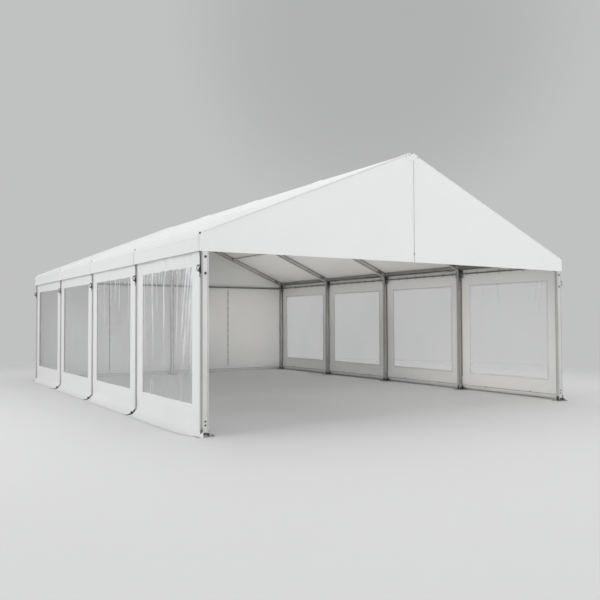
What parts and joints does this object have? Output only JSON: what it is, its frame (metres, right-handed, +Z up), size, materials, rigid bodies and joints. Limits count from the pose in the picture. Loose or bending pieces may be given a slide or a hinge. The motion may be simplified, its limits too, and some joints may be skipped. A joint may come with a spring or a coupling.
{
  "type": "marquee tent",
  "caption": "Clear-span frame marquee with a white gable roof, walls with clear windows along both sides, a closed back gable and an open front.",
  "frame": {"origin": "on the ground at the middle of the tent", "axes": "+Y runs along the ridge from the open front gable to the closed back gable, +X to the right for someone who faces the front, +Z up"},
  "size_m": [9.4, 12.34, 5.1],
  "materials": {
    "aluminium": "mill finish extrusion, satin, with fine draw lines",
    "white_fabric": "white coated polyester, smooth satin over a faint weave",
    "window_film": "clear flexible film, glossy, with soft upright creases",
    "galvanised_steel": "zinc coated, dull, slightly mottled",
    "dark_webbing": "dark grey woven polyester webbing",
    "black_rubber": "matt black"
  },
  "bodies": {
    "root": {"post_left_1": "aluminium", "post_left_2": "aluminium", "post_left_3": "aluminium", "post_left_4": "aluminium", "post_left_5": "aluminium", "post_right_1": "aluminium", "post_right_2": "aluminium", "post_right_3": "aluminium", "post_right_4": "aluminium", "post_right_5": "aluminium", "rafter_left_1": "aluminium", "rafter_left_2": "aluminium", "rafter_left_3": "aluminium", "rafter_left_4": "aluminium", "rafter_left_5": "aluminium", "rafter_right_1": "aluminium", "rafter_right_2": "aluminium", "rafter_right_3": "aluminium", "rafter_right_4": "aluminium", "rafter_right_5": "aluminium", "eave_purlin_left": "aluminium", "eave_purlin_right": "aluminium", "middle_purlin_left": "aluminium", "middle_purlin_right": "aluminium", "ridge_purlin": "aluminium", "wall_rail_left": "aluminium", "wall_rail_right": "aluminium", "gable_rail": "aluminium", "gable_upright": "aluminium", "roof_cover_1": "white_fabric", "roof_cover_2": "white_fabric", "roof_cover_3": "white_fabric", "roof_cover_4": "white_fabric", "gable_cover_front": "white_fabric", "gable_cover_back": "white_fabric", "side_wall_left_1": "white_fabric", "side_wall_left_2": "white_fabric", "side_wall_left_3": "white_fabric", "side_wall_left_4": "white_fabric", "side_wall_right_1": "white_fabric", "side_wall_right_2": "white_fabric", "side_wall_right_3": "white_fabric", "side_wall_right_4": "white_fabric", "window_film_left_1": "window_film", "window_film_left_2": "window_film", "window_film_left_3": "window_film", "window_film_left_4": "window_film", "window_film_right_1": "window_film", "window_film_right_2": "window_film", "window_film_right_3": "window_film", "window_film_right_4": "window_film", "back_wall_left": "white_fabric", "back_wall_right": "white_fabric"}
  },
  "joints": []
}
